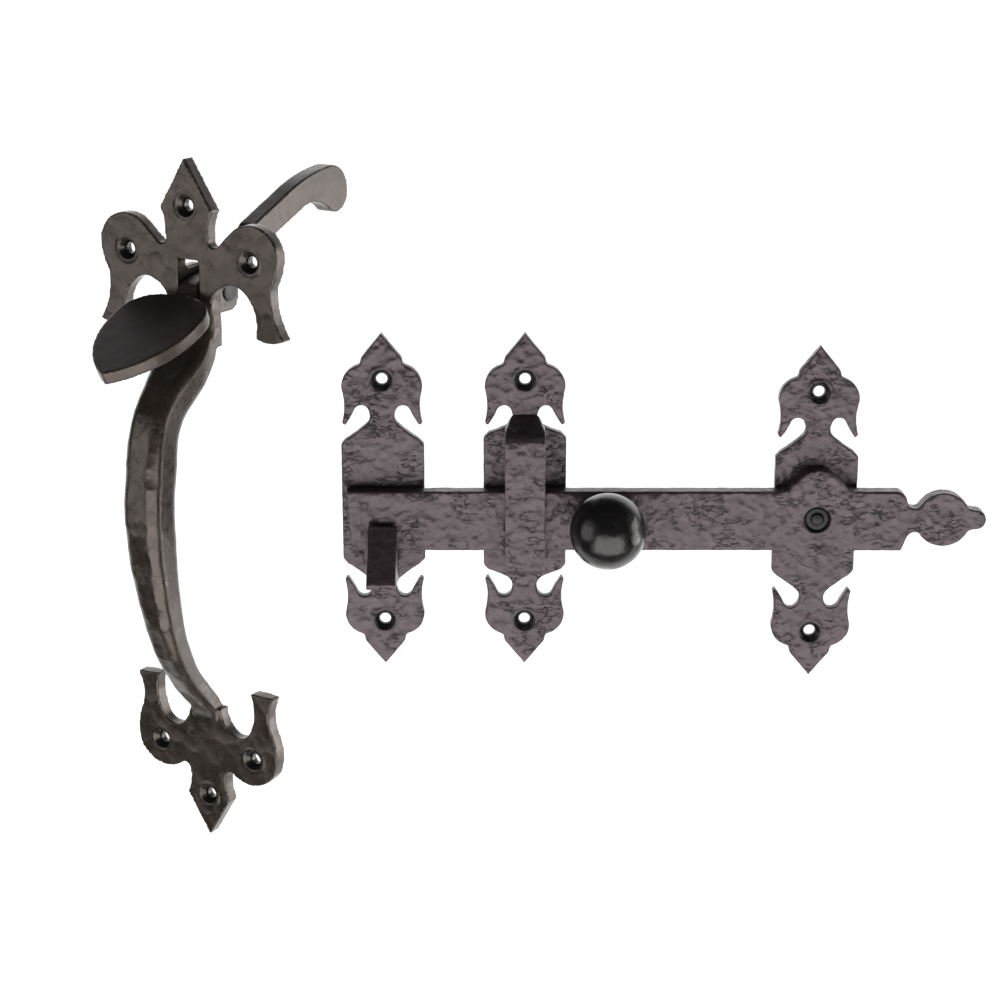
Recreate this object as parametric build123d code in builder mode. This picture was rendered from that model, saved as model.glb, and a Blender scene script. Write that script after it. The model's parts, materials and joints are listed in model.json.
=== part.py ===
"""Suffolk thumb latch set: a pull handle with its thumb lever, and a latch bar with its three plates.

Units are millimetres and +Z is up. The plates stand on the plane Y = 0 and face -Y. The origin is on
the latch bar's pivot axis at the back of the pivot plate. The handle stands to the left, turned about Z.
"""
import math
import os

from build123d import *

# ---- screws ----
SCREW_R = 1.8
SINK_R = 3.5
SINK_ANGLE = 82.0

# ---- the three plates of the bar ----
PLATE_T = 4.0
HOLE_PITCH = 80.0
PLATE_HALF_W = 13.2
PLATE_TIP_Z = 55.0
CATCH_X = -137.8
GUIDE_X = -92.7
GUIDE_Z = 4.1

# ---- latch bar ----
BAR_GAP = 0.3
BAR_T = 6.0
BAR_TOP = 9.4
BAR_BOTTOM = -10.3
BAR_LEFT = -149.5
BAR_BEVEL = 0.6
BAR_BACK = PLATE_T + BAR_GAP
BAR_FACE = BAR_BACK + BAR_T
LOBE_R = 8.3
LOBE_OUT = 8.0
FINIAL_X = 40.0
FINIAL_R = 8.8
FINIAL_TIP_X = 53.6

# ---- bar pivot rivet ----
PIVOT_R = 3.0
PIVOT_FIT = 0.05
RIVET_SEAT = 7.2
RIVET_HEAD_R = 3.7
RIVET_HEAD_T = 1.6
RIVET_NUB_R = 1.8
RIVET_NUB_T = 1.0
SINK_MOUTH_R = 4.4
RIVET_FOOT_R = 4.2
RIVET_FOOT_T = 1.2

# ---- knob on the bar ----
KNOB_X = -67.0
KNOB_Z = 0.6
KNOB_R = 12.0
KNOB_OUT = 23.5
COLLAR_R = 5.6
STEM_R = 3.0
STEM_END = 21.0

# ---- catch hook ----
REST_GAP = 0.05
HOOK_HALF_W = 4.7
HOOK_NOTCH = 11.0
HOOK_TIP_Z = -1.0
HOOK_EDGE_Y = 28.0
HOOK_EDGE_Z = -15.6
HOOK_EDGE_T = 1.8
HOOK_FOOT_Z = -21.5
TENON_R = 2.8

# ---- guide staple ----
STAPLE_HALF_W = 6.4
STAPLE_FACE = 15.5
STAPLE_INSIDE = 11.0
STAPLE_TOP = 24.0
STAPLE_BOTTOM = -20.8
STAPLE_WALL = 4.4
STAPLE_NECK = 3.6
STAPLE_ROOT_TOP = 29.0
STAPLE_ROOT_BOTTOM = -24.4
GUIDE_SHOULDER = 2.0

# ---- handle ----
HANDLE_TURN = 30.0
HANDLE_X = -197.0
HANDLE_Y = -6.8
HANDLE_Z = 1.9
ROSE_T = 5.0
HANDLE_HALF_H = 112.5
SLOT_HALF_W = 4.0
SLOT_TOP = 81.0
SLOT_BOTTOM = 66.0
EAR_T = 3.8
EAR_BACK = -16.0
EAR_TOP = 78.0
EAR_BOTTOM = 63.8
EAR_ROUND = 4.5

# ---- thumb lever, in the handle's side view: first number outwards, second up ----
PIN_N = -11.0
PIN_Z = 70.3
PIN_R = 2.5
PIN_FIT = 0.06
PIN_HEAD = 0.6
HUB_R = 5.2
LEVER_HALF_T = 3.1
ARM_RISE = 0.39
ARM_LINE_Z = 75.0
BLADE_TOP_Z = 73.4
PAD_ROOT_Z = 72.5
PAD_SLOPE = 24.0
PAD_T = 4.2
PAD_HALF_W = 16.4
PAD_SHIFT = 0.8
PAD_LENGTH = 46.0

turn = math.radians(HANDLE_TURN)
ACROSS = Vector(math.cos(turn), -math.sin(turn), 0)
OUTWARD = Vector(-math.sin(turn), -math.cos(turn), 0)
UP = Vector(0, 0, 1)
HANDLE_ORIGIN = Vector(HANDLE_X, HANDLE_Y, HANDLE_Z)
ROSE_FRONT = Plane(origin=HANDLE_ORIGIN, x_dir=ACROSS, z_dir=OUTWARD)
HANDLE_SIDE = Plane(origin=HANDLE_ORIGIN, x_dir=OUTWARD, z_dir=-ACROSS)


def front_plane(x, z, height):
    """Plane that faces the viewer, at a height above the door face."""
    return Plane(origin=(x, -height, z), x_dir=(1, 0, 0), z_dir=(0, -1, 0))


def side_plane(x, z=0.0):
    """Plane across the bar: local X runs out from the door, local Y runs up."""
    return Plane(origin=(x, 0, z), x_dir=(0, -1, 0), z_dir=(-1, 0, 0))


def plate_outline(shoulder):
    """Outline of one bar plate: a rectangular middle with a barbed leaf above and below.

    The shoulder is how much taller the middle is than on the plainest plate.
    """
    with BuildLine() as outline:
        Line((0, PLATE_TIP_Z), (6.5, 47.0))
        Line((6.5, 47.0), (6.9, 44.8))
        ThreePointArc((6.9, 44.8), (11.5, 41.9), (12.8, 37.2))
        ThreePointArc((12.8, 37.2), (12.0, 31.5), (12.8, 26.0))
        Line((12.8, 26.0), (11.7, 25.2))
        ThreePointArc((11.7, 25.2), (10.2, 27.4), (8.8, 30.1))
        ThreePointArc((8.8, 30.1), (6.4, 31.7), (4.3, 29.8))
        ThreePointArc((4.3, 29.8), (4.1, 27.2), (5.6, 25.2))
        ThreePointArc((5.6, 25.2), (8.3, 23.0 + shoulder / 2), (11.6, 20.8 + shoulder))
        Line((11.6, 20.8 + shoulder), (PLATE_HALF_W, 19.0 + shoulder))
        Line((PLATE_HALF_W, 19.0 + shoulder), (PLATE_HALF_W, 0))
        mirror(about=Plane.YZ)
        mirror(about=Plane.XZ)
    return outline.line


def plate_blank(x, z, bores, shoulder=0.0):
    """One bar plate. Each bore is (height above the plate's middle, radius)."""
    front = front_plane(x, z, PLATE_T)
    with BuildPart(front) as plate:
        with BuildSketch(front):
            add(plate_outline(shoulder))
            make_face()
        extrude(amount=-PLATE_T)
        with GridLocations(0, HOLE_PITCH, 1, 2):
            CounterSinkHole(SCREW_R, SINK_R, counter_sink_angle=SINK_ANGLE)
        for height, radius in bores:
            with Locations((0, height)):
                Hole(radius)
    return plate.part


def round_profile(points, axis):
    """Solid of revolution from (radius, height above the door) points."""
    with BuildPart() as solid:
        with BuildSketch(side_plane(axis)):
            with BuildLine():
                Polyline(*[(height, radius) for radius, height in points], close=True)
            make_face()
        revolve(axis=Axis((axis, 0, 0), (0, -1, 0)))
    return solid.part


# ---- catch plate ----
CATCH_TENON_Z = -18.8
catch_plate = plate_blank(CATCH_X, GUIDE_Z, [(CATCH_TENON_Z, TENON_R)])

# ---- catch hook: the bar rests in its notch, and its ramp lifts the bar as the door closes ----
notch_z = BAR_BOTTOM - REST_GAP
with BuildPart() as catch_hook:
    with BuildSketch(side_plane(CATCH_X)):
        with BuildLine():
            Line((PLATE_T, notch_z), (HOOK_NOTCH, notch_z))
            Line((HOOK_NOTCH, notch_z), (HOOK_NOTCH + 0.6, HOOK_TIP_Z - 0.8))
            ThreePointArc(
                (HOOK_NOTCH + 0.6, HOOK_TIP_Z - 0.8),
                (HOOK_NOTCH + 1.4, HOOK_TIP_Z),
                (HOOK_NOTCH + 2.6, HOOK_TIP_Z - 0.5),
            )
            Line((HOOK_NOTCH + 2.6, HOOK_TIP_Z - 0.5), (HOOK_EDGE_Y, HOOK_EDGE_Z))
            Line((HOOK_EDGE_Y, HOOK_EDGE_Z), (HOOK_EDGE_Y, HOOK_EDGE_Z - HOOK_EDGE_T))
            ThreePointArc(
                (HOOK_EDGE_Y, HOOK_EDGE_Z - HOOK_EDGE_T),
                (HOOK_NOTCH + 3.5, HOOK_FOOT_Z + 2.2),
                (PLATE_T, HOOK_FOOT_Z),
            )
            Line((PLATE_T, HOOK_FOOT_Z), (PLATE_T, notch_z))
        make_face()
    extrude(amount=HOOK_HALF_W, both=True)
    with BuildSketch(front_plane(CATCH_X, GUIDE_Z + CATCH_TENON_Z, 0)):
        Circle(TENON_R)
    extrude(amount=PLATE_T + 1.0)

# ---- guide plate ----
STAPLE_TENONS = (21.8, -19.0)
guide_bores = [(height, TENON_R) for height in STAPLE_TENONS]
guide_plate = plate_blank(GUIDE_X, GUIDE_Z, guide_bores, GUIDE_SHOULDER)

# ---- guide staple: the bar rises and falls inside it ----
face_top = GUIDE_Z + STAPLE_TOP
face_bottom = GUIDE_Z + STAPLE_BOTTOM
with BuildPart() as guide_staple:
    with BuildSketch(side_plane(GUIDE_X)):
        with BuildLine():
            Polyline(
                (PLATE_T, GUIDE_Z + STAPLE_ROOT_TOP),
                (STAPLE_FACE - 1.2, face_top),
                (STAPLE_FACE, face_top - 1.4),
                (STAPLE_FACE, face_bottom + 1.4),
                (STAPLE_FACE - 1.2, face_bottom),
                (PLATE_T, GUIDE_Z + STAPLE_ROOT_BOTTOM),
                close=True,
            )
        make_face()
        with BuildLine():
            Polyline(
                (PLATE_T, face_top - STAPLE_WALL),
                (STAPLE_INSIDE, face_top - STAPLE_WALL),
                (STAPLE_INSIDE, face_bottom + STAPLE_WALL),
                (PLATE_T, face_bottom + STAPLE_WALL),
                close=True,
            )
        make_face(mode=Mode.SUBTRACT)
    extrude(amount=STAPLE_HALF_W, both=True)
    with BuildSketch(front_plane(GUIDE_X, GUIDE_Z, 0)):
        with BuildLine():
            Polyline(
                (STAPLE_NECK, STAPLE_ROOT_TOP + 1.0),
                (STAPLE_HALF_W, STAPLE_TOP + 1.0),
                (STAPLE_HALF_W, STAPLE_BOTTOM + 1.0),
                (STAPLE_NECK, STAPLE_ROOT_BOTTOM - 1.0),
                (-STAPLE_NECK, STAPLE_ROOT_BOTTOM - 1.0),
                (-STAPLE_HALF_W, STAPLE_BOTTOM + 1.0),
                (-STAPLE_HALF_W, STAPLE_TOP + 1.0),
                (-STAPLE_NECK, STAPLE_ROOT_TOP + 1.0),
                close=True,
            )
        make_face()
    extrude(amount=STAPLE_FACE + 1.0, mode=Mode.INTERSECT)
    with BuildSketch(front_plane(GUIDE_X, GUIDE_Z, 0)):
        with Locations(*[(0, height) for height in STAPLE_TENONS]):
            Circle(TENON_R)
    extrude(amount=PLATE_T + 1.0)

# ---- pivot plate, sunk at the back for the rivet's foot ----
pivot_plate = plate_blank(0, 0, [(0, PIVOT_R)])
foot_cone = round_profile(
    [(0, 0), (RIVET_FOOT_R, 0), (PIVOT_R, RIVET_FOOT_T), (0, RIVET_FOOT_T)], 0
)
pivot_plate = pivot_plate - foot_cone

# ---- bar pivot rivet: foot, shank, and a sunk head that holds the bar ----
head_base = RIVET_SEAT + 2 * PIVOT_FIT
head_top = head_base + RIVET_HEAD_T
bar_pivot_rivet = round_profile(
    [
        (0, 0),
        (RIVET_FOOT_R, 0),
        (PIVOT_R, RIVET_FOOT_T),
        (PIVOT_R, head_base),
        (RIVET_HEAD_R, head_top),
        (RIVET_NUB_R + 0.2, head_top),
        (RIVET_NUB_R, head_top + RIVET_NUB_T - 0.3),
        (0, head_top + RIVET_NUB_T),
    ],
    0,
)

# ---- latch bar: blade, a lobe above and below the pivot, disc finial ----
bar_back_plane = front_plane(0, 0, BAR_BACK)
with BuildPart(bar_back_plane) as latch_bar:
    with BuildSketch(bar_back_plane):
        with BuildLine():
            Line((BAR_LEFT, BAR_TOP), (24.2, BAR_TOP))
            ThreePointArc((24.2, BAR_TOP), (27.2, 8.4), (28.4, 5.6))
            ThreePointArc((28.4, 5.6), (30.6, 3.7), (33.4, 5.0))
            Line((33.4, 5.0), (33.4, -5.0))
            ThreePointArc((33.4, -5.0), (30.4, -4.3), (28.4, -6.6))
            Line((28.4, -6.6), (27.0, BAR_BOTTOM))
            Line((27.0, BAR_BOTTOM), (BAR_LEFT + 1.6, BAR_BOTTOM))
            Line((BAR_LEFT + 1.6, BAR_BOTTOM), (BAR_LEFT, BAR_TOP))
        make_face()
        with Locations((FINIAL_X, 0)):
            Circle(FINIAL_R)
        with BuildLine():
            ThreePointArc((47.2, 4.6), (48.9, 3.4), (50.5, 3.2))
            ThreePointArc((50.5, 3.2), (FINIAL_TIP_X, 0), (50.5, -3.2))
            ThreePointArc((50.5, -3.2), (48.9, -3.4), (47.2, -4.6))
            Line((47.2, -4.6), (47.2, 4.6))
        make_face()
        with Locations((0, LOBE_OUT), (0, -LOBE_OUT)):
            Circle(LOBE_R)
        for edge, side in ((BAR_TOP, 1), (BAR_BOTTOM, -1)):
            Polygon(
                (-12.0, edge - side),
                (-12.0, edge),
                (-9.2, edge + side * 0.8),
                (-7.6, side * 12.2),
                (7.6, side * 12.2),
                (9.2, edge + side * 0.8),
                (12.0, edge),
                (12.0, edge - side),
                align=None,
            )
    extrude(amount=BAR_T)
    long_edges = latch_bar.faces().sort_by(Axis.Y)[0].edges().sort_by(SortBy.LENGTH)[-2:]
    chamfer(long_edges, BAR_BEVEL)
    with Locations((KNOB_X, KNOB_Z)):
        Hole(STEM_R)
bar_bore = round_profile(
    [
        (0, BAR_BACK - 1.0),
        (PIVOT_R + PIVOT_FIT, BAR_BACK - 1.0),
        (PIVOT_R + PIVOT_FIT, RIVET_SEAT),
        (SINK_MOUTH_R, BAR_FACE),
        (SINK_MOUTH_R, BAR_FACE + 1.0),
        (0, BAR_FACE + 1.0),
    ],
    0,
)
latch_bar_solid = latch_bar.part - bar_bore

# ---- knob: a ball on a short collar, bored for its stem ----
with BuildPart() as knob:
    with BuildSketch(side_plane(KNOB_X, KNOB_Z)):
        with BuildLine():
            Line((BAR_FACE, 0), (BAR_FACE, COLLAR_R + 1.0))
            ThreePointArc((BAR_FACE, COLLAR_R + 1.0), (BAR_FACE + 1.2, COLLAR_R), (BAR_FACE + 3.0, COLLAR_R))
            Line((BAR_FACE + 3.0, COLLAR_R), (BAR_FACE + 3.0, 0))
            Line((BAR_FACE + 3.0, 0), (BAR_FACE, 0))
        make_face()
        with BuildLine():
            ThreePointArc((KNOB_OUT - KNOB_R, 0), (KNOB_OUT, KNOB_R), (KNOB_OUT + KNOB_R, 0))
            Line((KNOB_OUT + KNOB_R, 0), (KNOB_OUT - KNOB_R, 0))
        make_face()
    revolve(axis=Axis((KNOB_X, 0, KNOB_Z), (0, -1, 0)))
    with BuildSketch(front_plane(KNOB_X, KNOB_Z, BAR_FACE)):
        Circle(STEM_R)
    extrude(amount=STEM_END - BAR_FACE, mode=Mode.SUBTRACT)

# ---- knob stem: driven into the knob and riveted flush at the back of the bar ----
with BuildPart() as knob_stem:
    with BuildSketch(front_plane(KNOB_X, KNOB_Z, BAR_BACK)):
        Circle(STEM_R)
    extrude(amount=STEM_END - BAR_BACK)


# ---- handle casting: two roses, the grip between them, and two ears for the lever's pin ----
def top_rose():
    """Half outline of the top rose, mirrored: spear, two lobes with feet, and the stem."""
    with BuildLine() as outline:
        Line((0, HANDLE_HALF_H), (10.0, 96.7))
        ThreePointArc((10.0, 96.7), (8.4, 92.3), (8.3, 88.6))
        ThreePointArc((8.3, 88.6), (9.2, 85.6), (11.6, 86.2))
        Line((11.6, 86.2), (17.0, 91.2))
        ThreePointArc((17.0, 91.2), (27.4, 93.2), (33.8, 85.4))
        ThreePointArc((33.8, 85.4), (33.2, 79.8), (31.1, 74.8))
        ThreePointArc((31.1, 74.8), (31.4, 68.0), (35.5, 58.9))
        Line((35.5, 58.9), (31.5, 57.9))
        Line((31.5, 57.9), (28.4, 57.8))
        Line((28.4, 57.8), (24.8, 58.8))
        ThreePointArc((24.8, 58.8), (24.2, 68.4), (20.0, 73.4))
        ThreePointArc((20.0, 73.4), (16.6, 74.5), (13.0, 73.5))
        ThreePointArc((13.0, 73.5), (10.0, 71.6), (8.6, 68.4))
        Line((8.6, 68.4), (9.2, 62.0))
        Line((9.2, 62.0), (9.2, 54.0))
        Line((9.2, 54.0), (0, 54.0))
        mirror(about=Plane.YZ)
    return outline.line


def bottom_rose():
    """Half outline of the bottom rose, mirrored: spear, two lobes that end in raised horns."""
    with BuildLine() as outline:
        Line((0, -HANDLE_HALF_H), (8.5, -98.5))
        ThreePointArc((8.5, -98.5), (7.2, -94.4), (7.2, -90.6))
        ThreePointArc((7.2, -90.6), (8.2, -88.6), (10.4, -88.7))
        ThreePointArc((10.4, -88.7), (19.4, -90.8), (27.0, -85.4))
        ThreePointArc((27.0, -85.4), (28.0, -78.0), (26.0, -71.0))
        ThreePointArc((26.0, -71.0), (25.3, -65.4), (27.4, -59.0))
        Line((27.4, -59.0), (18.3, -58.7))
        ThreePointArc((18.3, -58.7), (19.4, -66.0), (17.0, -73.4))
        ThreePointArc((17.0, -73.4), (13.8, -75.3), (10.4, -74.8))
        ThreePointArc((10.4, -74.8), (7.6, -72.0), (6.2, -66.5))
        Line((6.2, -66.5), (0, -66.5))
        mirror(about=Plane.YZ)
    return outline.line


TOP_HOLES = ((-23.4, 82.3), (23.4, 82.3), (0, 97.7))
BOTTOM_HOLES = ((-18.5, -82.0), (18.5, -82.0), (0, -98.0))

# Grip stations: distance out from the rose face, height, half width, half depth, lean from upright.
GRIP = (
    (-2.3, 64.0, 9.2, 2.2, 0),
    (0.4, 54.5, 9.2, 3.6, 20),
    (4.0, 48.6, 9.0, 4.8, 34),
    (8.6, 43.8, 7.9, 6.0, 42),
    (14.2, 38.6, 6.9, 6.5, 38),
    (20.2, 28.0, 6.8, 6.8, 20),
    (23.0, 12.0, 6.8, 6.8, 5),
    (22.9, -6.0, 6.6, 6.6, -6),
    (20.4, -24.0, 5.8, 5.8, -15),
    (15.6, -41.0, 4.9, 4.9, -26),
    (7.8, -55.0, 4.4, 4.1, -38),
    (0.6, -64.0, 4.8, 3.4, -34),
    (-2.2, -73.0, 6.2, 2.0, 0),
)
GRIP_CORNER = 0.62

with BuildPart(ROSE_FRONT) as handle_casting:
    with BuildSketch(ROSE_FRONT):
        add(top_rose())
        make_face()
        add(bottom_rose())
        make_face()
    extrude(amount=-ROSE_T)
    for out, height, half_w, half_d, lean in GRIP:
        centre = HANDLE_ORIGIN + OUTWARD * out + UP * height
        tilt = math.radians(lean)
        along = UP * -math.cos(tilt) + OUTWARD * math.sin(tilt)
        with BuildSketch(Plane(origin=centre, x_dir=ACROSS, z_dir=along)):
            RectangleRounded(2 * half_w, 2 * half_d, GRIP_CORNER * min(half_w, half_d))
    loft()
    for side in (-1, 1):
        ear_plane = HANDLE_SIDE.offset(side * SLOT_HALF_W)
        with BuildSketch(ear_plane) as ear:
            with BuildLine():
                Polyline(
                    (-ROSE_T + 1.0, EAR_BOTTOM),
                    (EAR_BACK, EAR_BOTTOM),
                    (EAR_BACK, EAR_TOP),
                    (-ROSE_T + 1.0, EAR_TOP),
                    close=True,
                )
            make_face()
            fillet(ear.vertices().group_by(Axis.X)[0], EAR_ROUND)
        extrude(amount=side * EAR_T)
    slot_height = SLOT_TOP - SLOT_BOTTOM
    with BuildSketch(HANDLE_SIDE):
        with Locations((-ROSE_T / 2, SLOT_BOTTOM + slot_height / 2)):
            Rectangle(ROSE_T * 2, slot_height)
    extrude(amount=SLOT_HALF_W, both=True, mode=Mode.SUBTRACT)
    with Locations(*[(across, height, 0) for across, height in TOP_HOLES + BOTTOM_HOLES]):
        CounterSinkHole(SCREW_R, SINK_R, depth=2 * ROSE_T, counter_sink_angle=SINK_ANGLE)
    with BuildSketch(HANDLE_SIDE):
        with Locations((PIN_N, PIN_Z)):
            Circle(PIN_R)
    extrude(amount=SLOT_HALF_W + EAR_T + 1.0, both=True, mode=Mode.SUBTRACT)

# ---- lever pivot pin: through both ears, upset at each end ----
with BuildPart() as lever_pivot_pin:
    with BuildSketch(HANDLE_SIDE):
        with Locations((PIN_N, PIN_Z)):
            Circle(PIN_R)
    extrude(amount=SLOT_HALF_W + EAR_T + PIN_HEAD, both=True)
    for side in (-1, 1):
        with BuildSketch(HANDLE_SIDE.offset(side * (SLOT_HALF_W + EAR_T))):
            with Locations((PIN_N, PIN_Z)):
                Circle(PIN_R + 0.8)
        extrude(amount=side * PIN_HEAD)

# ---- thumb lever: leaf pad in front, blade through the slot, swan-neck arm behind ----
def arm_top(out):
    """Height of the arm's straight top edge at a distance out from the rose face."""
    return ARM_LINE_Z - ARM_RISE * out


slope = math.radians(PAD_SLOPE)
pad_normal = UP * math.cos(slope) + OUTWARD * math.sin(slope)
PAD_TOP = Plane(origin=HANDLE_ORIGIN + UP * PAD_ROOT_Z, x_dir=-ACROSS, z_dir=pad_normal)
with BuildPart() as thumb_lever:
    with BuildSketch(HANDLE_SIDE):
        with BuildLine():
            Line((4.2, 69.8), (0, BLADE_TOP_Z))
            ThreePointArc((0, BLADE_TOP_Z), (-5.0, 74.8), (PIN_N, PIN_Z + HUB_R))
            ThreePointArc((PIN_N, PIN_Z + HUB_R), (-22.0, 80.6), (-32.0, arm_top(-32)))
            Line((-32.0, arm_top(-32)), (-50, arm_top(-50)))
            ThreePointArc((-50, arm_top(-50)), (-64.0, 98.9), (-75.5, 100.4))
            ThreePointArc((-75.5, 100.4), (-83.6, 96.2), (-84.6, 88.4))
            ThreePointArc((-84.6, 88.4), (-80.6, 84.8), (-75.0, 85.4))
            ThreePointArc((-75.0, 85.4), (-67.6, 89.3), (-57.7, 88.0))
            Line((-57.7, 88.0), (-34.0, 79.2))
            ThreePointArc((-34.0, 79.2), (-24.0, 74.8), (PIN_N - HUB_R, PIN_Z))
            ThreePointArc(
                (PIN_N - HUB_R, PIN_Z),
                (PIN_N - HUB_R * math.sin(math.radians(45)), PIN_Z - HUB_R * math.sin(math.radians(45))),
                (PIN_N, PIN_Z - HUB_R),
            )
            Polyline((PIN_N, PIN_Z - HUB_R), (-7.6, SLOT_BOTTOM + 0.4), (-4.0, SLOT_BOTTOM + 0.6))
            Line((-4.0, SLOT_BOTTOM + 0.6), (0, SLOT_BOTTOM + REST_GAP))
            Line((0, SLOT_BOTTOM + REST_GAP), (6.0, SLOT_BOTTOM + REST_GAP))
            Line((6.0, SLOT_BOTTOM + REST_GAP), (8.0, 67.2))
            Line((8.0, 67.2), (4.2, 69.8))
        make_face()
    extrude(amount=LEVER_HALF_T, both=True)
    with BuildSketch(PAD_TOP):
        with BuildLine():
            for side in (-1, 1):
                widest = PAD_SHIFT + side * PAD_HALF_W
                Line((0, 4.0), (side * 4.6, 4.4))
                ThreePointArc((side * 4.6, 4.4), (PAD_SHIFT + side * 13.0, 7.8), (widest, 17.0))
                ThreePointArc((widest, 17.0), (PAD_SHIFT + side * 13.0, 32.4), (PAD_SHIFT, PAD_LENGTH))
        make_face()
    extrude(amount=-PAD_T)
    with BuildSketch(HANDLE_SIDE):
        with Locations((PIN_N, PIN_Z)):
            Circle(PIN_R + PIN_FIT)
    extrude(amount=2 * LEVER_HALF_T, both=True, mode=Mode.SUBTRACT)

PIECES = {
    "handle_casting": handle_casting.part,
    "thumb_lever": thumb_lever.part,
    "lever_pivot_pin": lever_pivot_pin.part,
    "catch_plate": catch_plate,
    "catch_hook": catch_hook.part,
    "guide_plate": guide_plate,
    "guide_staple": guide_staple.part,
    "pivot_plate": pivot_plate,
    "bar_pivot_rivet": bar_pivot_rivet,
    "latch_bar": latch_bar_solid,
    "knob": knob.part,
    "knob_stem": knob_stem.part,
}

os.makedirs("parts", exist_ok=True)
for name, piece in PIECES.items():
    piece.label = name
    export_step(piece, f"parts/{name}.step")
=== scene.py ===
import json
import math

import bmesh
import bpy
import numpy as np
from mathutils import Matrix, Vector, noise


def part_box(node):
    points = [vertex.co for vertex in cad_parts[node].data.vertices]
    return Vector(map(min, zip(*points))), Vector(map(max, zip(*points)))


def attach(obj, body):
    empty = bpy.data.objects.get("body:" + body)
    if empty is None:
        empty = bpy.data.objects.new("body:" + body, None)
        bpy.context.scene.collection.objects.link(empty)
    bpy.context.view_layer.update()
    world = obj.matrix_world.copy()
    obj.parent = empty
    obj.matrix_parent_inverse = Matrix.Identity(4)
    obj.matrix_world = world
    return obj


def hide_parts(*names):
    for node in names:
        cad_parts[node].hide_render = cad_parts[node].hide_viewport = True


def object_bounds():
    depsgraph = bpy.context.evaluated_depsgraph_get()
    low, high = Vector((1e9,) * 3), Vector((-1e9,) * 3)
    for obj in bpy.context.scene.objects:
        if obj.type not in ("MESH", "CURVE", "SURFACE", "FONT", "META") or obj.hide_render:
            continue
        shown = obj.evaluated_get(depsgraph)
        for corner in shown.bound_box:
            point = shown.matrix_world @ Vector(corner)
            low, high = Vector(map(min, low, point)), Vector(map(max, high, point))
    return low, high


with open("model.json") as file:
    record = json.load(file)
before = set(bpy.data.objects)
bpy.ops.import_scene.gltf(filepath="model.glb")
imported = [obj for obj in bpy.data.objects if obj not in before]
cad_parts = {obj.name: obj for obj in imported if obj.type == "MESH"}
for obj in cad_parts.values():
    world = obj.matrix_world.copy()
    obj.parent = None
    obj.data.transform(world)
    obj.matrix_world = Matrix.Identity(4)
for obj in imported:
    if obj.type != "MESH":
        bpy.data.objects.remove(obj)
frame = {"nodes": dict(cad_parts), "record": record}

cad_low, cad_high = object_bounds()
MM = 0.001


# ---- surfaces -------------------------------------------------------------------------------------
def body_of(node):
    """Name of the CAD body that a node belongs to."""
    for body, nodes in frame["record"]["behaviour"]["bodies"].items():
        if node in nodes:
            return body
    return "root"


def dense_copy(node, voxel, rounds):
    """A fine, evenly meshed copy of a CAD node with its edges softened like cast metal."""
    piece = bpy.data.objects.new(node + "_cast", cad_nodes[node].data.copy())
    bpy.context.collection.objects.link(piece)
    remesh = piece.modifiers.new("even_mesh", "REMESH")
    remesh.mode = "VOXEL"
    remesh.voxel_size = voxel
    soften = piece.modifiers.new("soften", "SMOOTH")
    soften.factor = 0.5
    soften.iterations = rounds
    depsgraph = bpy.context.evaluated_depsgraph_get()
    piece.data = bpy.data.meshes.new_from_object(piece.evaluated_get(depsgraph))
    piece.modifiers.clear()
    return piece


def dent(point, size):
    """How deep a hammer dent is at a point, from 0 to 1. Dents are shallow bowls of a given size."""
    nearest = noise.voronoi(point / size)[0][0]
    return max(0.0, 1.0 - nearest * nearest * 1.6)


def bore_lines():
    """A point and a direction on the axis of every screw hole, and of the bar's pivot."""
    lines = [(Vector((0, 0, 0)), Vector((0, 1, 0)))]
    for mount in frame["record"]["mounts"]:
        at, along = Vector(mount["pos_m"]), Vector(mount["axis"])
        if mount["kind"] == "bore":
            lines.append((at, along))
        if mount["kind"] == "bolt_pattern":
            upright, level = mount["dims"].get("spacing_y_mm", 0), mount["dims"].get("pcd_mm", 0)
            half = (Vector((0, 0, upright)) + along.cross(Vector((0, 0, level)))) * MM / 2
            lines.append((at + half, along))
            lines.append((at - half, along))
    return lines


def bore_guard(points):
    """How free each point is of a screw hole: 0 in its mouth, 1 beyond it, so that holes keep their size."""
    free = np.ones(len(points))
    for at, along in bore_lines():
        away = points - np.array(at)
        away -= np.outer(away @ np.array(along), np.array(along))
        free = np.minimum(free, np.clip((np.linalg.norm(away, axis=1) - 3.6 * MM) / (1.2 * MM), 0.0, 1.0))
    return free


def mark_hole_shade_mask(piece):
    """Store how far each vertex lies inside a screw hole's mouth, where the colour is darkened as painted shade."""
    mesh = piece.data
    points = np.zeros(len(mesh.vertices) * 3)
    mesh.vertices.foreach_get("co", points)
    hole_shade_mask = mesh.attributes.new("hole_shade_mask", "FLOAT", "POINT")
    hole_shade_mask.data.foreach_set("value", 1.0 - bore_guard(points.reshape(-1, 3)))


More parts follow.
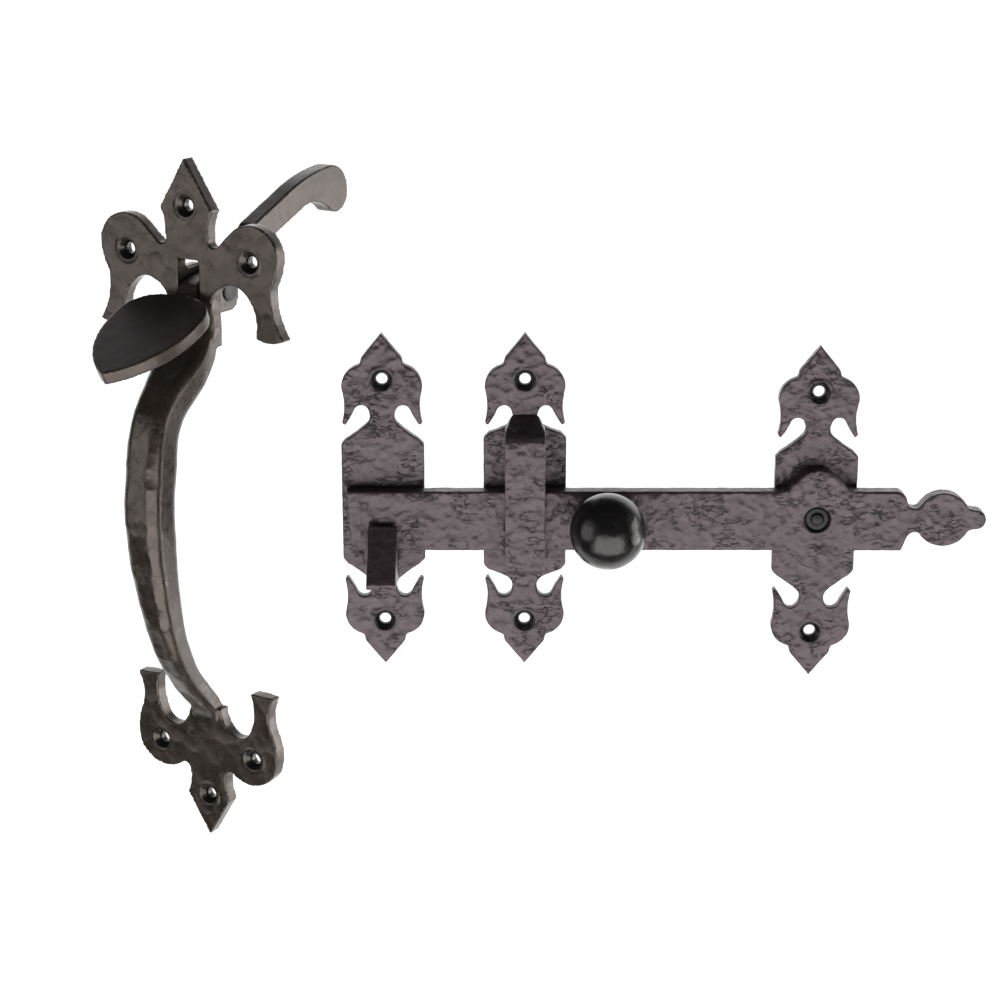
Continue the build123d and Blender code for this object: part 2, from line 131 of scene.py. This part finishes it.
def hammer(piece, dent_size, dent_depth, ripple_size, ripple_depth, seed, face=None):
    """Push the surface inwards by hammer dents and a finer ripple, so that it never leaves its solid.

    With a face direction, surfaces that turn away from it keep most of their place.
    """
    mesh = piece.data
    count = len(mesh.vertices)
    points = np.zeros(count * 3)
    mesh.vertices.foreach_get("co", points)
    points = points.reshape(-1, 3)
    normals = np.zeros(count * 3)
    mesh.vertex_normals.foreach_get("vector", normals)
    normals = normals.reshape(-1, 3)
    shift = Vector((seed, seed * 0.37, seed * 0.71))
    depth = np.zeros(count)
    for i in range(count):
        at = Vector(points[i]) + shift
        wander = noise.noise_vector(at / (dent_size * 2.0)) * dent_size * 0.5
        ripple = 0.5 + 0.5 * noise.fractal(at / ripple_size, 0.9, 2.0, 3)
        depth[i] = dent_depth * dent(at + wander, dent_size) + ripple_depth * min(max(ripple, 0.0), 1.0)
    if face is not None:
        depth *= 0.25 + 0.75 * np.abs(normals @ np.array(face)) ** 2
    depth *= bore_guard(points)
    points -= normals * depth[:, None]
    mesh.vertices.foreach_set("co", points.ravel())
    mesh.update()


def finish_piece(piece, node, material):
    """Give a new piece its look, and let it stand for its CAD node on the same body."""
    mark_hole_shade_mask(piece)
    piece.data.materials.clear()
    piece.data.materials.append(material)
    for polygon in piece.data.polygons:
        polygon.use_smooth = True
        polygon.material_index = 0
    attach(piece, body_of(node))
    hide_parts(node)


# ---- materials ------------------------------------------------------------------------------------
def black_paint(name, tint, dark, gleam, roughness, sheen, grain_mm, grain_bump, pit_mm, pit_bump, worn, crack):
    """Black paint on iron: colour and roughness that vary, fine grain, casting pits, cracks painted dark as shade,
    worn edges, and painted shade in screw-hole mouths.
    """
    material = bpy.data.materials.new(name)
    material.use_nodes = True
    tree = material.node_tree
    nodes, links = tree.nodes, tree.links
    shader = nodes["Principled BSDF"]
    shader.inputs["Specular IOR Level"].default_value = sheen
    shader.inputs["Specular Tint"].default_value = (*gleam, 1)
    shader.inputs["Coat Weight"].default_value = sheen * 0.3
    shader.inputs["Coat Tint"].default_value = (*gleam, 1)
    shader.inputs["Coat Roughness"].default_value = 0.22
    place = nodes.new("ShaderNodeTexCoord")

    def noise_node(size_mm, detail, rough):
        node = nodes.new("ShaderNodeTexNoise")
        node.inputs["Scale"].default_value = 1000.0 / size_mm
        node.inputs["Detail"].default_value = detail
        node.inputs["Roughness"].default_value = rough
        links.new(place.outputs["Object"], node.inputs["Vector"])
        return node

    cloud = noise_node(9.0, 4.0, 0.6)
    colours = nodes.new("ShaderNodeValToRGB")
    colours.color_ramp.elements[0].position = 0.35
    colours.color_ramp.elements[0].color = (*dark, 1)
    colours.color_ramp.elements[1].position = 0.65
    colours.color_ramp.elements[1].color = (*tint, 1)
    links.new(cloud.outputs["Fac"], colours.inputs["Fac"])

    shape = nodes.new("ShaderNodeNewGeometry")
    edge = nodes.new("ShaderNodeMapRange")
    edge.inputs["From Min"].default_value = 0.53
    edge.inputs["From Max"].default_value = 0.62
    edge.inputs["To Max"].default_value = worn
    links.new(shape.outputs["Pointiness"], edge.inputs["Value"])
    wear = nodes.new("ShaderNodeMix")
    wear.data_type = "RGBA"
    wear.inputs["B"].default_value = (0.16, 0.13, 0.12, 1)
    links.new(edge.outputs["Result"], wear.inputs["Factor"])
    links.new(colours.outputs["Color"], wear.inputs["A"])

    # thin wandering cracks in the casting skin: painted dark as shade in the creases, and sunk in the bump below
    stretch = nodes.new("ShaderNodeMapping")
    stretch.inputs["Scale"].default_value = (0.55, 1.0, 1.5)
    links.new(place.outputs["Object"], stretch.inputs["Vector"])
    vein = noise_node(3.2, 6.0, 0.62)
    links.new(stretch.outputs["Vector"], vein.inputs["Vector"])
    off_centre = nodes.new("ShaderNodeMath")
    off_centre.operation = "SUBTRACT"
    off_centre.inputs[1].default_value = 0.5
    links.new(vein.outputs["Fac"], off_centre.inputs[0])
    width = nodes.new("ShaderNodeMath")
    width.operation = "ABSOLUTE"
    links.new(off_centre.outputs["Value"], width.inputs[0])
    line = nodes.new("ShaderNodeMapRange")
    line.inputs["From Min"].default_value = 0.0
    line.inputs["From Max"].default_value = 0.024
    line.inputs["To Min"].default_value = 1.0
    line.inputs["To Max"].default_value = 0.0
    links.new(width.outputs["Value"], line.inputs["Value"])
    patch = noise_node(8.0, 2.0, 0.5)
    where = nodes.new("ShaderNodeMapRange")
    where.inputs["From Min"].default_value = 0.50
    where.inputs["From Max"].default_value = 0.62
    where.inputs["To Max"].default_value = crack
    links.new(patch.outputs["Fac"], where.inputs["Value"])
    cracks = nodes.new("ShaderNodeMath")
    cracks.operation = "MULTIPLY"
    links.new(line.outputs["Result"], cracks.inputs[0])
    links.new(where.outputs["Result"], cracks.inputs[1])
    # painted shade: the crack lines are darkened to near black in the base colour
    painted_crack_shade = nodes.new("ShaderNodeMix")
    painted_crack_shade.data_type = "RGBA"
    painted_crack_shade.inputs["B"].default_value = (0.004, 0.004, 0.004, 1)
    links.new(cracks.outputs["Value"], painted_crack_shade.inputs["Factor"])
    links.new(wear.outputs["Result"], painted_crack_shade.inputs["A"])
    # painted shade: screw-hole mouths are darkened to near black in the base colour by this mask
    inside = nodes.new("ShaderNodeAttribute")
    inside.attribute_name = "hole_shade_mask"
    painted_hole_shade = nodes.new("ShaderNodeMix")
    painted_hole_shade.data_type = "RGBA"
    painted_hole_shade.inputs["B"].default_value = (0.003, 0.003, 0.003, 1)
    links.new(inside.outputs["Fac"], painted_hole_shade.inputs["Factor"])
    links.new(painted_crack_shade.outputs["Result"], painted_hole_shade.inputs["A"])
    links.new(painted_hole_shade.outputs["Result"], shader.inputs["Base Color"])

    smear = noise_node(4.0, 3.0, 0.6)
    gloss = nodes.new("ShaderNodeMapRange")
    gloss.inputs["From Min"].default_value = 0.3
    gloss.inputs["From Max"].default_value = 0.7
    gloss.inputs["To Min"].default_value = roughness - 0.08
    gloss.inputs["To Max"].default_value = roughness + 0.10
    links.new(smear.outputs["Fac"], gloss.inputs["Value"])
    links.new(gloss.outputs["Result"], shader.inputs["Roughness"])

    grain = noise_node(grain_mm, 5.0, 0.65)
    fine = nodes.new("ShaderNodeBump")
    fine.inputs["Strength"].default_value = grain_bump
    fine.inputs["Distance"].default_value = 0.0002
    links.new(grain.outputs["Fac"], fine.inputs["Height"])
    pits = nodes.new("ShaderNodeTexVoronoi")
    pits.feature = "SMOOTH_F1"
    pits.inputs["Scale"].default_value = 1000.0 / pit_mm
    pits.inputs["Smoothness"].default_value = 0.6
    links.new(place.outputs["Object"], pits.inputs["Vector"])
    coarse = nodes.new("ShaderNodeBump")
    coarse.inputs["Strength"].default_value = pit_bump
    coarse.inputs["Distance"].default_value = 0.0004
    links.new(pits.outputs["Distance"], coarse.inputs["Height"])
    links.new(fine.outputs["Normal"], coarse.inputs["Normal"])
    sunk = nodes.new("ShaderNodeBump")
    sunk.invert = True
    sunk.inputs["Strength"].default_value = 0.9
    sunk.inputs["Distance"].default_value = 0.0003
    links.new(cracks.outputs["Value"], sunk.inputs["Height"])
    links.new(coarse.outputs["Normal"], sunk.inputs["Normal"])
    links.new(sunk.outputs["Normal"], shader.inputs["Normal"])
    return material


PURPLE = (1.0, 0.84, 0.89)
BROWN = (1.0, 0.86, 0.77)
GREY = (1.0, 0.96, 0.94)
plate_paint = black_paint(
    "plate_paint", (0.046, 0.035, 0.039), (0.028, 0.021, 0.024), PURPLE, 0.38, 0.45, 0.9, 0.75, 2.2, 0.50, 0.30, 1.0
)
handle_paint = black_paint(
    "handle_paint", (0.024, 0.019, 0.015), (0.012, 0.010, 0.008), BROWN, 0.31, 0.50, 1.6, 0.25, 5.0, 0.25, 0.35, 0.10
)
lever_paint = black_paint(
    "lever_paint", (0.032, 0.025, 0.021), (0.022, 0.017, 0.014), BROWN, 0.40, 0.52, 1.2, 0.16, 4.0, 0.08, 0.35, 0.0
)
knob_paint = black_paint(
    "knob_paint", (0.010, 0.009, 0.009), (0.006, 0.0055, 0.0055), GREY, 0.22, 0.34, 1.6, 0.45, 3.5, 0.40, 0.1, 0.0
)
pin_paint = black_paint(
    "pin_paint", (0.05, 0.046, 0.046), (0.03, 0.028, 0.028), GREY, 0.50, 0.25, 0.8, 0.2, 1.5, 0.1, 0.4, 0.0
)

# ---- pieces ---------------------------------------------------------------------------------------
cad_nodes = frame["nodes"]

# node: material, mesh size, softening rounds, dent size and depth, ripple size and depth (mm)
ROUGH = (plate_paint, 0.45, 3, 3.4, 0.33, 1.5, 0.24)
CASTINGS = {
    "catch_plate": ROUGH,
    "guide_plate": ROUGH,
    "pivot_plate": ROUGH,
    "latch_bar": ROUGH,
    "guide_staple": ROUGH,
    "catch_hook": ROUGH,
    "handle_casting": (handle_paint, 0.5, 4, 7.0, 0.40, 3.5, 0.12),
    "thumb_lever": (lever_paint, 0.45, 3, 9.0, 0.10, 3.0, 0.08),
    "bar_pivot_rivet": (pin_paint, 0.2, 2, 1.5, 0.04, 0.8, 0.03),
    "lever_pivot_pin": (pin_paint, 0.25, 2, 1.5, 0.04, 0.8, 0.03),
    "knob_stem": (pin_paint, 0.25, 2, 1.5, 0.04, 0.8, 0.03),
}
HANDLE_FACE = (0.5, math.sqrt(3) / 2, 0)
for order, (node, spec) in enumerate(sorted(CASTINGS.items())):
    material, voxel, rounds, dent_size, dent_depth, ripple_size, ripple_depth = spec
    casting = dense_copy(node, voxel * MM, rounds)
    face = HANDLE_FACE if node in ("handle_casting", "thumb_lever") else (0, 1, 0)
    hammer(casting, dent_size * MM, dent_depth * MM, ripple_size * MM, ripple_depth * MM, order * 0.13, face)
    finish_piece(casting, node, material)


def turned_knob():
    """The knob: a lathe-turned ball on a flared collar, slightly uneven like a casting."""
    low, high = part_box("knob")
    radius = (high.x - low.x) / 2
    centre_x = (high.x + low.x) / 2
    centre_z = (high.z + low.z) / 2
    ball_y = low.y + radius
    foot = high.y
    neck = radius * 0.48
    profile = [(0.0, foot), (neck * 1.16, foot), (neck * 1.16, foot - 0.5 * MM)]
    steps = 6
    for step in range(1, steps + 1):
        turn = step / steps * math.pi / 2
        profile.append((neck * (1.16 - 0.2 * math.sin(turn)), foot - 0.5 * MM - (1 - math.cos(turn)) * MM))
    start = math.asin(neck * 0.96 / radius)
    rings = 72
    for ring in range(rings + 1):
        turn = start + (math.pi - start) * ring / rings
        profile.append((radius * math.sin(turn), ball_y + radius * math.cos(turn)))
    profile[-1] = (0.0, ball_y - radius)
    shape = bmesh.new()
    sides = 128
    grid = []
    for out, along in profile:
        ring = []
        for side in range(sides):
            turn = 2 * math.pi * side / sides
            at = Vector((centre_x + out * math.cos(turn), along, centre_z + out * math.sin(turn)))
            ring.append(shape.verts.new(at))
        grid.append(ring)
    for first, second in zip(grid, grid[1:]):
        for side in range(sides):
            after = (side + 1) % sides
            shape.faces.new((first[side], first[after], second[after], second[side]))
    bmesh.ops.remove_doubles(shape, verts=shape.verts, dist=1e-6)
    bmesh.ops.recalc_face_normals(shape, faces=shape.faces)
    mesh = bpy.data.meshes.new("knob_cast")
    shape.to_mesh(mesh)
    shape.free()
    piece = bpy.data.objects.new("knob_cast", mesh)
    bpy.context.collection.objects.link(piece)
    return piece


knob = turned_knob()
hammer(knob, 8.0 * MM, 0.05 * MM, 5.0 * MM, 0.05 * MM, 2.1)
finish_piece(knob, "knob", knob_paint)


# ---- floor, light and camera ----------------------------------------------------------------------
def plain(name, colour, glow):
    """A plain matt material for the studio."""
    material = bpy.data.materials.new(name)
    material.use_nodes = True
    shader = material.node_tree.nodes["Principled BSDF"]
    shader.inputs["Base Color"].default_value = (*colour, 1)
    shader.inputs["Roughness"].default_value = 0.9
    shader.inputs["Specular IOR Level"].default_value = 0.0
    shader.inputs["Emission Color"].default_value = (1, 1, 1, 1)
    shader.inputs["Emission Strength"].default_value = glow
    return material


floor_mesh = bpy.data.meshes.new("floor")
floor_half = 12.0
floor_z = cad_low.z - 0.60
floor_mesh.from_pydata(
    [(x * floor_half, y * floor_half, floor_z) for x, y in ((-1, -1), (1, -1), (1, 1), (-1, 1))], [], [(0, 1, 2, 3)]
)
floor = bpy.data.objects.new("floor", floor_mesh)
floor_mesh.materials.append(plain("floor_white", (0.85, 0.85, 0.85), 1.0))
bpy.context.collection.objects.link(floor)
floor.visible_diffuse = False
floor.visible_glossy = False

world = bpy.data.worlds.new("studio")
bpy.context.scene.world = world
world.use_nodes = True
sky_tree = world.node_tree
sky = sky_tree.nodes["Background"]
direction = sky_tree.nodes.new("ShaderNodeTexCoord")
towards = sky_tree.nodes.new("ShaderNodeVectorMath")
towards.operation = "DOT_PRODUCT"
towards.inputs[1].default_value = (0.12, 0.90, -0.42)
fade = sky_tree.nodes.new("ShaderNodeValToRGB")
fade.color_ramp.elements[0].position = 0.20
fade.color_ramp.elements[0].color = (0.03, 0.03, 0.03, 1)
fade.color_ramp.elements[1].position = 0.55
fade.color_ramp.elements[1].color = (1.6, 1.6, 1.6, 1)
seen = sky_tree.nodes.new("ShaderNodeLightPath")
pale = sky_tree.nodes.new("ShaderNodeMix")
pale.data_type = "RGBA"
pale.inputs["B"].default_value = (0.93, 0.93, 0.93, 1)
sky_tree.links.new(direction.outputs["Generated"], towards.inputs[0])
sky_tree.links.new(towards.outputs["Value"], fade.inputs["Fac"])
sky_tree.links.new(fade.outputs["Color"], pale.inputs["A"])
sky_tree.links.new(seen.outputs["Is Camera Ray"], pale.inputs["Factor"])
sky_tree.links.new(pale.outputs["Result"], sky.inputs["Color"])

centre = (cad_low + cad_high) / 2


def softbox(name, place, width, height, power):
    """A rectangular soft light that faces the middle of the object."""
    light = bpy.data.lights.new(name, "AREA")
    light.shape = "RECTANGLE"
    light.size = width
    light.size_y = height
    light.energy = power
    lamp = bpy.data.objects.new(name, light)
    lamp.location = centre + Vector(place)
    lamp.rotation_mode = "QUATERNION"
    lamp.rotation_quaternion = (-Vector(place)).to_track_quat("-Z", "Y")
    bpy.context.collection.objects.link(lamp)


softbox("front_light", (0.05, -1.15, -0.66), 2.4, 1.4, 45.0)
softbox("left_light", (-1.15, -0.50, 0.10), 0.8, 0.9, 4.5)
softbox("right_light", (1.10, 0.15, -0.05), 0.7, 1.0, 12.0)

VIEW_DOWN = math.radians(17.0)
camera_data = bpy.data.cameras.new("camera")
camera_data.sensor_width = 36.0
camera_data.lens = 82.8
camera = bpy.data.objects.new("camera", camera_data)
camera.location = (-0.1006, -0.7050, 0.2192)
camera.rotation_euler = (math.pi / 2 - VIEW_DOWN, 0.0, 0.0)
bpy.context.collection.objects.link(camera)
bpy.context.scene.camera = camera
bpy.context.scene.view_settings.view_transform = "Standard"
